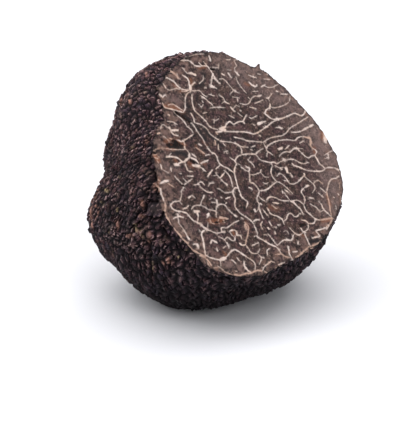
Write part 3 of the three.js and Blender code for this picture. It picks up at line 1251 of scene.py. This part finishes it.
def thinned(points, fixed):
    """The points, in order, without those too close to an earlier one or to a fixed one."""
    cells = {}
    kept = []

    def crowded(point):
        home = np.floor(point / CLOSEST).astype(int)
        near = (
            other
            for dx in (-1, 0, 1)
            for dy in (-1, 0, 1)
            for other in cells.get((home[0] + dx, home[1] + dy), ())
        )
        return any((point[0] - x) ** 2 + (point[1] - y) ** 2 < CLOSEST**2 for x, y in near)

    for i, point in enumerate(np.concatenate([fixed, points])):
        if i < len(fixed) or not crowded(point):
            home = tuple(np.floor(point / CLOSEST).astype(int))
            cells.setdefault(home, []).append(tuple(point))
            if i >= len(fixed):
                kept.append(point)
    return np.array(kept)


def marks(points, text):
    """How strongly the wide soft strokes of some traced lines mark each point."""
    total = np.zeros(len(points))
    for width, strength, pixels in traced_strokes(text):
        path = smooth_path([on_cut(pixel) for pixel in pixels], VEIN_STEP)
        total = np.maximum(total, strength * soft_stroke(points, path, width * PIXEL))
    return total


def flesh_values(points, samples, loops):
    """What the flesh looks like at each point: named arrays of numbers from 0 to 1."""
    places, halves, strengths, warmths, _ = samples
    veins = nearest_tree(places)
    rim = nearest_tree(np.concatenate(loops))
    vein, warm, shade, edge, torn = np.zeros((5, len(points)))
    for i, (x, y) in enumerate(points):
        place = Vector((x, y, 0))
        uneven = RAGGED[1] * noise.noise(place / RAGGED[0])
        torn[i] = PIT_RAGGED[1] * noise.noise(place / PIT_RAGGED[0])
        near = veins.find_n(place, NEAR_SAMPLES)
        for _, j, distance in near:
            past = distance + uneven - halves[j]
            level = strengths[j] * min(1, max(0, 1 - past / VEIN_SOFT))
            if level > vein[i]:
                vein[i] = level
                warm[i] = warmths[j]
        shade[i] = near[0][2]
        edge[i] = rim.find(place)[2]
    pit = marks(points, PITS)
    return {
        "vein": vein,
        "warm": warm,
        "shade": 1 - smooth_step(*VEIN_SHADE, shade),
        "edge": 1 - smooth_step(*EDGE_DARK, edge),
        "outer": 1 - smooth_step(0, OUTER_FLESH, edge),
        "brown": marks(points, BROWN_MARKS),
        "dark": marks(points, DARK_MARKS),
        "light": marks(points, LIGHT_MARKS),
        "pit": np.clip(pit + torn * smooth_step(0, PIT_SURE, pit), 0, 1),
    }


def face_relief(points, values):
    """How far the flesh stands out from the cut plane at each point, in metres."""
    rough = np.array([
        sum(height * noise.noise(Vector((x, y, 0)) / (size * MM)) for size, height in UNEVEN)
        for x, y in points
    ])
    relief = rough + VEIN_PROUD * values["vein"] - PIT_DEEP * values["pit"]
    return relief * MM * (1 - values["edge"])


FLESH_VALUES = ("vein", "warm", "shade", "edge", "outer", "brown", "dark", "light", "pit")


def add_flesh(bm):
    """Closes the cut with the veined flesh, and gives its vertices the flesh's values."""
    layers = {name: bm.verts.layers.float.new(name) for name in FLESH_VALUES}
    loops = open_loops(bm)
    loops.sort(key=len, reverse=True)
    rim = [vertex for loop in loops for vertex in loop]
    flat = [
        np.array([((v.co - CUT_POINT).dot(CUT_RIGHT), (v.co - CUT_POINT).dot(CUT_UP)) for v in loop])
        for loop in loops
    ]
    samples = vein_samples()
    inner = mesh_points(samples, flat)
    points = np.concatenate([*flat, inner])
    edges = []
    for loop in loops:
        first = len(edges)
        edges += [(first + i, first + (i + 1) % len(loop)) for i in range(len(loop))]
    coords, _, faces, origins, _, _ = delaunay_2d_cdt(
        [Vector(point) for point in points], edges, [], 0, MERGED
    )
    coords = np.array(coords)
    values = flesh_values(coords, samples, flat)
    relief = face_relief(coords, values)
    vertices = []
    for i, ((x, y), origin) in enumerate(zip(coords, origins)):
        on_rim = next((rim[j] for j in origin if j < len(rim)), None)
        place = CUT_POINT + CUT_RIGHT * x + CUT_UP * y + CUT_NORMAL * relief[i]
        vertex = on_rim or bm.verts.new(place)
        for name, layer in layers.items():
            vertex[layer] = values[name][i]
        vertices.append(vertex)
    faces = np.array(faces)
    wanted = inside(coords[faces].mean(axis=1), flat)
    for face in faces[wanted]:
        made = bm.faces.new([vertices[i] for i in face])
        made.material_index = FLESH_SLOT


# ---- Materials --------------------------------------------------------------------------------

SKIN_SLOT, FLESH_SLOT = 0, 1


class Paint:
    """A small helper that adds nodes to one material and wires them."""

    def __init__(self, name):
        self.material = bpy.data.materials.new(name)
        self.material.use_nodes = True
        self.tree = self.material.node_tree
        self.shader = self.tree.nodes["Principled BSDF"]

    def node(self, kind, inputs=None, **settings):
        node = self.tree.nodes.new(kind)
        for name, value in settings.items():
            setattr(node, name, value)
        for name, value in (inputs or {}).items():
            self.feed(node.inputs[name], value)
        return node

    def feed(self, socket, value):
        if isinstance(value, bpy.types.NodeSocket):
            self.tree.links.new(value, socket)
        else:
            socket.default_value = value

    def attribute(self, name):
        return self.node("ShaderNodeAttribute", attribute_name=name).outputs["Fac"]

    def grain(self, size, detail=3.0, roughness=0.55):
        """Noise with features of about `size` metres, from 0 to 1."""
        where = self.node("ShaderNodeTexCoord").outputs["Object"]
        inputs = {"Vector": where, "Scale": 1 / size, "Detail": detail, "Roughness": roughness}
        return self.node("ShaderNodeTexNoise", inputs).outputs["Fac"]

    def remap(self, value, low, high, to_low=0.0, to_high=1.0):
        inputs = {
            "Value": value, "From Min": low, "From Max": high, "To Min": to_low, "To Max": to_high,
        }
        return self.node("ShaderNodeMapRange", inputs, clamp=True).outputs["Result"]

    def math(self, operation, a, b):
        return self.node("ShaderNodeMath", {0: a, 1: b}, operation=operation).outputs["Value"]

    def mix(self, share, below, above):
        node = self.node("ShaderNodeMix", data_type="RGBA")
        self.feed(node.inputs["Factor"], share)
        self.feed(node.inputs[6], below)
        self.feed(node.inputs[7], above)
        return node.outputs[2]

    def cover(self, color, above, first, *others):
        """The colour with another over it, by the product of the shares."""
        share = first
        for other in others:
            share = self.math("MULTIPLY", share, other)
        return self.mix(share, color, above)

    def bump(self, height, distance, strength):
        inputs = {"Height": height, "Distance": distance, "Strength": strength}
        return self.node("ShaderNodeBump", inputs).outputs["Normal"]

    def finish(self, color, roughness, normal, specular):
        self.feed(self.shader.inputs["Base Color"], color)
        self.feed(self.shader.inputs["Roughness"], roughness)
        self.feed(self.shader.inputs["Normal"], normal)
        self.shader.inputs["Specular IOR Level"].default_value = specular
        return self.material


def srgb(red, green, blue):
    """A colour given as 0-255 screen values, as the linear RGBA that nodes take."""
    screen = (channel / 255 for channel in (red, green, blue))
    linear = [c / 12.92 if c <= 0.04045 else ((c + 0.055) / 1.055) ** 2.4 for c in screen]
    return (*linear, 1.0)


# Painted shade in the valleys between warts
SKIN_VALLEY_SHADE = srgb(9, 5, 8)
SKIN_RIDGE = srgb(78, 53, 57)
SKIN_OLIVE = srgb(76, 62, 50)
SKIN_COOL = srgb(58, 46, 62)
SKIN_WARM = srgb(92, 56, 56)
# Painted highlight on the ridges
SKIN_GLINT = srgb(190, 158, 152)
# Painted shade on random faces
SKIN_SHADOW = srgb(12, 7, 11)
SKIN_GLOOM = srgb(13, 10, 16)
# Painted shade towards the bottom
SKIN_UNDERSIDE_SHADE = srgb(9, 6, 9)
SKIN_RUST = srgb(205, 150, 130)
SKIN_OCHRE = srgb(180, 158, 118)
SKIN_CALM = srgb(42, 34, 34)
# Painted shade in the creases and grooves
SKIN_CREASE_SHADE = srgb(8, 4, 7)
SKIN_BUMP = (0.10 * MM, 0.9)  # height and strength of the grain
SKIN_SHINE = 0.12


def skin_material():
    """Near-black brown warts with browner ridges and warm patches; painted shade in the valleys, the
    creases and towards the bottom, and painted highlights and shade on random faces.
    """
    paint = Paint("truffle_skin")
    rise = paint.attribute("rise")
    tint = paint.attribute("tint")
    facet_light_and_shade = paint.attribute("facet_light_and_shade")
    fine = paint.grain(0.28 * MM, detail=3, roughness=0.65)
    broad = paint.grain(3 * MM)
    lifted = paint.math("ADD", rise, paint.remap(fine, 0.35, 0.65, -0.3, 0.3))
    where = paint.node("ShaderNodeTexCoord").outputs["Object"]
    height = paint.node("ShaderNodeSeparateXYZ", {"Vector": where}).outputs["Z"]
    cool = paint.math(
        "ADD", paint.remap(paint.grain(2.2 * MM, detail=2), 0.48, 0.6, 0, 0.7),
        paint.remap(height, 14 * MM, 26 * MM, 0.4, 0),
    )
    olive = paint.remap(paint.grain(1.7 * MM, detail=1), 0.5, 0.62, 0, 0.7)
    ridge = paint.mix(olive, SKIN_RIDGE, SKIN_OLIVE)
    ridge = paint.mix(cool, ridge, SKIN_COOL)
    # Painted shade: near-black in the valleys, the ridge colour on the ridges
    color = paint.mix(paint.remap(lifted, 0.15, 0.95), SKIN_VALLEY_SHADE, ridge)
    warmth = paint.math("ADD", tint, paint.remap(broad, 0.3, 0.7, -0.4, 0.4))
    warm = paint.remap(warmth, 0.4, 1.1, 0, 0.6)
    color = paint.cover(color, SKIN_WARM, warm, paint.remap(lifted, 0.2, 0.8))
    # Painted highlights: glints on the ridges of random faces, weaker towards the bottom
    upper = paint.remap(height, 8 * MM, 22 * MM, 0.15, 1)
    glint = paint.remap(lifted, 0.65, 1.15)
    color = paint.cover(color, SKIN_GLINT, glint, paint.remap(facet_light_and_shade, 0.5, 0.9), upper)
    # Painted shade on the faces with low values
    color = paint.cover(color, SKIN_SHADOW, paint.remap(facet_light_and_shade, 0.0, 0.4, 0.8, 0.0))
    gloom = paint.remap(paint.grain(6 * MM, detail=2), 0.36, 0.5, 0.5, 0)
    color = paint.cover(color, SKIN_GLOOM, gloom)
    # Painted shade: darker towards the bottom of the body
    color = paint.cover(color, SKIN_UNDERSIDE_SHADE, paint.remap(height, 2 * MM, 24 * MM, 0.95, 0))
    patchy = paint.remap(fine, 0.35, 0.6, 0.6, 1)
    patchy = paint.math("MULTIPLY", patchy, paint.remap(lifted, 0.1, 0.8, 0.5, 1))
    color = paint.cover(color, SKIN_RUST, paint.attribute("rust"), patchy)
    color = paint.cover(color, SKIN_OCHRE, paint.attribute("ochre"), patchy)
    color = paint.cover(color, SKIN_CALM, paint.attribute("calm"), 0.85)
    # Painted shade in the creases and grooves
    color = paint.cover(color, SKIN_CREASE_SHADE, paint.attribute("crease_shade"), 0.95)
    roughness = paint.remap(lifted, 0, 1, 0.8, 0.45)
    return paint.finish(color, roughness, paint.bump(fine, *SKIN_BUMP), SKIN_SHINE)


# Where two colours stand together, noise mixes them.
FLESH_PURPLE = (srgb(14, 7, 9), srgb(90, 64, 64))
FLESH_OLIVE = (srgb(16, 10, 9), srgb(90, 67, 60))
FLESH_OUTER = srgb(118, 96, 88)
FLESH_LIGHT = srgb(112, 94, 90)
FLESH_SHADE = srgb(18, 11, 13)
FLESH_HALO = srgb(112, 76, 58)
FLESH_DARK = srgb(26, 20, 22)
FLESH_SPECK = srgb(140, 118, 110)
FLESH_BROWN = srgb(122, 74, 50)
FLESH_EDGE = srgb(26, 18, 17)
FLESH_CREAM = (srgb(198, 180, 171), srgb(192, 166, 150))
FLESH_SALMON = srgb(168, 138, 122)
# The pits: near-black painted shade in the hollows, and their brown
FLESH_PIT_SHADE_AND_BROWN = (srgb(14, 6, 5), srgb(84, 46, 32))
FLESH_BUMP = (0.08 * MM, 0.8)
FLESH_SHINE = 0.18


def flesh_material():
    """Dark grey-brown flesh, mottled, with cream veins, a dark rim, brown marks, and pits painted
    brown and near-black with shade.
    """
    paint = Paint("truffle_flesh")
    fine = paint.grain(0.45 * MM, detail=4, roughness=0.75)
    medium = paint.grain(1.2 * MM, detail=3)
    broad = paint.grain(2.5 * MM)
    mottle = paint.math(
        "ADD", paint.remap(fine, 0.43, 0.62, 0, 0.6), paint.remap(medium, 0.43, 0.59, 0, 0.4)
    )
    purple = paint.mix(mottle, *FLESH_PURPLE)
    olive = paint.mix(mottle, *FLESH_OLIVE)
    color = paint.mix(paint.remap(broad, 0.42, 0.58), purple, olive)
    outer = paint.attribute("outer")
    color = paint.cover(color, FLESH_OUTER, outer, paint.remap(medium, 0.38, 0.6, 0, 0.6))
    pale = paint.remap(fine, 0.4, 0.6, 0.3, 0.85)
    color = paint.cover(color, FLESH_LIGHT, paint.attribute("light"), pale)
    shade = paint.attribute("shade")
    color = paint.cover(color, FLESH_SHADE, shade, 0.4)
    halo = paint.remap(medium, 0.48, 0.62, 0, 0.4)
    color = paint.cover(color, FLESH_HALO, shade, outer, halo)
    color = paint.cover(color, FLESH_DARK, paint.remap(paint.attribute("dark"), 0.05, 0.6))
    speck = paint.remap(paint.grain(0.6 * MM, detail=2), 0.61, 0.68, 0, 0.4)
    color = paint.cover(color, FLESH_SPECK, speck)
    stain = paint.remap(fine, 0.3, 0.6, 0.45, 1)
    color = paint.cover(color, FLESH_BROWN, paint.attribute("brown"), stain)
    rim_line = paint.remap(paint.grain(1.5 * MM), 0.35, 0.6, 0.2, 1)
    color = paint.cover(color, FLESH_EDGE, paint.attribute("edge"), rim_line)
    yellowing = paint.remap(paint.grain(3 * MM, detail=2), 0.45, 0.7)
    cream = paint.mix(yellowing, *FLESH_CREAM)
    cream = paint.mix(paint.attribute("warm"), cream, FLESH_SALMON)
    uneven = paint.remap(fine, 0.3, 0.6, 0.65, 1)
    color = paint.cover(color, cream, paint.attribute("vein"), uneven)
    # Pits: painted shade in the hollows, mixed with their brown
    hollow = paint.mix(paint.remap(fine, 0.54, 0.66), *FLESH_PIT_SHADE_AND_BROWN)
    color = paint.cover(color, hollow, paint.remap(paint.attribute("pit"), 0.28, 0.45))
    roughness = paint.remap(fine, 0.3, 0.7, 0.5, 0.7)
    return paint.finish(color, roughness, paint.bump(fine, *FLESH_BUMP), FLESH_SHINE)


# ---- The UV map: the flesh flat in one square, the skin in five, like the sides of a box ------

FLESH_SQUARE = (0.01, 0.01, 0.64)        # left, bottom and width of the flesh's square
FLESH_ACROSS = 57 * MM        # what that width covers
SKIN_ACROSS = math.radians(98)           # what a skin square's width covers, seen from CENTRE
SKIN_WIDTH = 0.31             # width of each of the skin's squares
# Their left and bottom, for the skin that lies towards and against the cut's right, then its up,
# then its normal. No skin lies mostly towards the normal.
SKIN_SQUARES = [
    [(0.67, 0.01), (0.67, 0.34)],
    [(0.67, 0.67), (0.01, 0.67)],
    [None, (0.34, 0.67)],
]


def add_map(mesh):
    """Gives the mesh a UV map, each skin face in the square that it mostly lies towards.

    Skin faces that lean over overlap their neighbours, and stray ones reach out of their square.
    """
    axes = np.array([CUT_RIGHT, CUT_UP, CUT_NORMAL])
    places = np.empty(3 * len(mesh.vertices))
    mesh.vertices.foreach_get("co", places)
    corners = np.empty(len(mesh.loops), int)
    mesh.loops.foreach_get("vertex_index", corners)
    slots = np.empty(len(mesh.polygons), int)
    mesh.polygons.foreach_get("material_index", slots)
    triangles = ((places.reshape(-1, 3) - np.array(CENTRE)) @ axes.T)[corners].reshape(-1, 3, 3)
    middles = triangles.mean(axis=1)
    facing = np.abs(middles).argmax(axis=1)
    uv = np.empty((len(triangles), 3, 2))
    left, bottom, width = FLESH_SQUARE
    flesh = slots == FLESH_SLOT
    spread = triangles[flesh][:, :, :2] / FLESH_ACROSS + 0.5
    uv[flesh] = np.array([left, bottom]) + width * spread
    for axis, squares in enumerate(SKIN_SQUARES):
        others = [other for other in range(3) if other != axis]
        for corner, ahead in zip(squares, (middles[:, axis] > 0, middles[:, axis] <= 0)):
            chosen = (slots == SKIN_SLOT) & (facing == axis) & ahead
            if chosen.any():
                slopes = triangles[chosen][:, :, others] / np.abs(triangles[chosen][:, :, [axis]])
                uv[chosen] = np.array(corner) + SKIN_WIDTH * (np.arctan(slopes) / SKIN_ACROSS + 0.5)
    layer = mesh.uv_layers.new(name="OFBake")
    layer.data.foreach_set("uv", uv.ravel())


# ---- The truffle ------------------------------------------------------------------------------


def build_truffle():
    """The truffle's mesh, with both materials and its UV map."""
    bm = cut_skin()
    add_flesh(bm)
    mesh = bpy.data.meshes.new("truffle_looks")
    bm.to_mesh(mesh)
    bm.free()
    mesh.materials.append(skin_material())
    mesh.materials.append(flesh_material())
    for face in mesh.polygons:
        face.use_smooth = face.material_index == FLESH_SLOT
    add_map(mesh)
    return mesh


truffle_mesh = build_truffle()
truffle = bpy.data.objects.new("truffle_looks", truffle_mesh)
bpy.context.collection.objects.link(truffle)
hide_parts(NODE)
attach(truffle, "root")


# ---- Floor, light and camera ------------------------------------------------------------------

FLOOR_SIZE = 6.0
FLOOR_COLOR = (0.61, 0.61, 0.63, 1)
FLOOR_ROUGHNESS = 0.9
FLOOR_SHINE = 0.1
LIT_POINT = Vector((0, 0, 0.03))         # where the lights are turned to
LIGHTS = [                    # (name, place, size in metres, power in watts)
    ("overhead", (-0.1, 0.05, 0.9), 1.7, 22.0),
    ("front", (0.3, -0.8, 0.6), 0.5, 2.5),
    ("side", (-0.9, 0.1, 0.4), 0.6, 2.8),
]
WORLD_COLOR = (0.94, 0.96, 1, 1)
WORLD_STRENGTH = 0.58
NEAREST_SEEN = 0.01           # metres from the camera

bpy.ops.mesh.primitive_plane_add(size=FLOOR_SIZE)
floor = bpy.context.object
floor.name = "floor"
pale = Paint("pale_floor")
pale.shader.inputs["Base Color"].default_value = FLOOR_COLOR
pale.shader.inputs["Roughness"].default_value = FLOOR_ROUGHNESS
pale.shader.inputs["Specular IOR Level"].default_value = FLOOR_SHINE
floor.data.materials.append(pale.material)


def area_light(name, place, size, power):
    """A soft square light that looks at the truffle."""
    light = bpy.data.lights.new(name, "AREA")
    light.size = size
    light.energy = power
    lamp = bpy.data.objects.new(name, light)
    lamp.location = place
    lamp.rotation_euler = (LIT_POINT - Vector(place)).to_track_quat("-Z", "Y").to_euler()
    bpy.context.collection.objects.link(lamp)


for name, place, size, power in LIGHTS:
    area_light(name, place, size, power)

world = bpy.data.worlds.new("studio")
world.use_nodes = True
backdrop = world.node_tree.nodes["Background"]
backdrop.inputs["Color"].default_value = WORLD_COLOR
backdrop.inputs["Strength"].default_value = WORLD_STRENGTH
bpy.context.scene.world = world

lens = bpy.data.cameras.new("view")
lens.sensor_fit = "HORIZONTAL"
lens.sensor_width = SENSOR
lens.lens = SENSOR * VIEW_DISTANCE / (FRAME_PX[0] * PIXEL)
lens.clip_start = NEAREST_SEEN
camera = bpy.data.objects.new("view", lens)
camera.location = EYE
camera.rotation_euler = (AIM - EYE).to_track_quat("-Z", "Y").to_euler()
bpy.context.collection.objects.link(camera)
bpy.context.scene.camera = camera
bpy.context.scene.view_settings.view_transform = "Standard"
